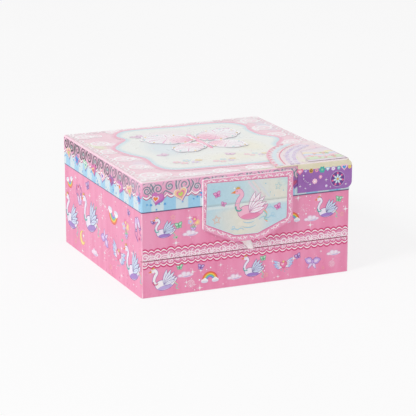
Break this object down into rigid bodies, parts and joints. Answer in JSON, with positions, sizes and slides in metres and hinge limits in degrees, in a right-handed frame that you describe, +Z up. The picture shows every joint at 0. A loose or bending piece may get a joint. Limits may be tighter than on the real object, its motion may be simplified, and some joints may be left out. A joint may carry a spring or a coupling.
{
  "type": "musical jewellery box",
  "caption": "Paper-covered musical jewellery box: hinged lid with mirror, magnet flap, ribbon-pull drawer, key-wound movement and a pop-up turning ballerina.",
  "frame": {"origin": "centre of the underside of the case", "axes": "+Z up, +X to the right seen from the front, +Y to the back; the drawer and the flap face -Y"},
  "size_m": [0.1511, 0.1633, 0.0794],
  "materials": {
    "greyboard": "dense grey board, cream edges",
    "printed_paper_pink": "pink printed art paper, semi-gloss",
    "printed_paper_lid": "pale pink printed art paper, gloss laminate",
    "printed_paper_flap": "pink printed cover paper with a pale picture panel",
    "lining_paper": "plain pink lining paper",
    "foil_emblem": "white pearl die-cut board with a pink middle",
    "card": "coated card, purple front and pastel top",
    "satin": "pale pink satin ribbon",
    "velvet": "pink flocked foam",
    "bookcloth": "pink book cloth",
    "mirror_glass": "silvered glass",
    "magnet": "black ferrite disc",
    "steel": "bright steel",
    "zinc": "cast zinc alloy",
    "brass": "turned brass",
    "spring_steel": "blued spring steel",
    "flocked_board": "pink flocked board",
    "white_plastic": "painted moulded plastic",
    "tulle": "pink tulle",
    "nylon": "white nylon"
  },
  "bodies": {
    "box": {"base_board": "greyboard", "left_wall": "greyboard", "right_wall": "greyboard", "back_wall": "greyboard", "front_panel": "greyboard", "catch_disc": "steel", "shelf_board": "greyboard", "chamber_board": "greyboard", "case_wrap": "printed_paper_pink", "case_lining": "lining_paper", "cross_divider": "flocked_board", "front_divider": "flocked_board", "left_divider": "flocked_board", "right_divider": "flocked_board", "ring_rolls": "velvet", "hinge_strip_case": "bookcloth", "bedplate": "zinc", "movement_screws": "steel", "spring_barrel": "zinc", "mainspring": "spring_steel", "lower_bracket": "zinc", "upper_bracket": "zinc", "comb": "steel", "comb_block": "zinc", "comb_screws": "steel", "movement_housing": "flocked_board"},
    "drawer": {"drawer_front": "greyboard", "drawer_front_wrap": "printed_paper_pink", "drawer_tray": "greyboard", "drawer_pad": "velvet", "ribbon_pull": "satin"},
    "lid": {"lid_top_board": "greyboard", "lid_front_board": "greyboard", "lid_back_board": "greyboard", "lid_side_boards": "greyboard", "lid_wrap": "printed_paper_lid", "lid_lining": "lining_paper", "mirror": "mirror_glass", "lid_emblem": "foil_emblem", "promo_card": "card", "flap_plate": "greyboard", "flap_plate_cover": "printed_paper_flap", "hinge_strip_lid": "bookcloth"},
    "flap": {"flap_tongue": "greyboard", "flap_tongue_cover": "printed_paper_flap", "flap_magnet": "magnet"},
    "drum": {"pin_drum": "brass", "drum_pinion": "brass", "drum_wheel": "brass", "drum_spindle": "steel"},
    "winding": {"winding_arbor": "steel", "great_wheel": "brass", "winding_key": "zinc"},
    "governor": {"governor": "nylon"},
    "popup": {"figure_spring": "spring_steel", "spring_ferrule": "brass"},
    "dancer": {"ballerina": "white_plastic", "tutu": "tulle"},
    "stop_lever": {"stop_lever": "steel"}
  },
  "joints": [
    {"name": "lid_hinge", "type": "hinge", "parent": "box", "child": "lid", "pos_m": [0, 0.07293, 0.0575], "axis": [-1, 0, 0], "range_deg": [0, 100]},
    {"name": "flap_hinge", "type": "hinge", "parent": "lid", "child": "flap", "pos_m": [-0.0005, -0.07505, 0.0576], "axis": [-1, 0, 0], "range_deg": [0, 150]},
    {"name": "drawer_slide", "type": "slide", "parent": "box", "child": "drawer", "axis": [0, -1, 0], "range_m": [0, 0.085]},
    {"name": "drum_spin", "type": "hinge", "parent": "box", "child": "drum", "pos_m": [0, 0.0498, 0.032], "axis": [0, 0, 1], "continuous": true},
    {"name": "winding_spin", "type": "hinge", "parent": "box", "child": "winding", "pos_m": [0, 0.05415, 0.017], "axis": [0, 1, 0], "continuous": true},
    {"name": "governor_spin", "type": "hinge", "parent": "box", "child": "governor", "pos_m": [-0.012, 0.0498, 0.032], "axis": [0, 0, 1], "continuous": true},
    {"name": "figure_fold", "type": "hinge", "parent": "box", "child": "popup", "pos_m": [0, 0.0498, 0.05591], "axis": [-1, 0, 0], "range_deg": [0, 90], "deforming": ["figure_spring"]},
    {"name": "dancer_spin", "type": "hinge", "parent": "popup", "child": "dancer", "pos_m": [0, 0.0498, 0.05591], "axis": [0, -1, 0], "continuous": true},
    {"name": "stop_slide", "type": "slide", "parent": "box", "child": "stop_lever", "axis": [0, 0, 1], "range_m": [0, 0.004]}
  ],
  "couplings": [
    {"joint": "winding_spin", "follows": "drum_spin", "ratio": -0.33333},
    {"joint": "governor_spin", "follows": "drum_spin", "ratio": -3},
    {"joint": "dancer_spin", "follows": "drum_spin", "ratio": 1},
    {"joint": "figure_fold", "follows": "lid_hinge", "ratio": 0.9},
    {"joint": "stop_slide", "follows": "lid_hinge", "m_per_rad": 0.0022895}
  ]
}
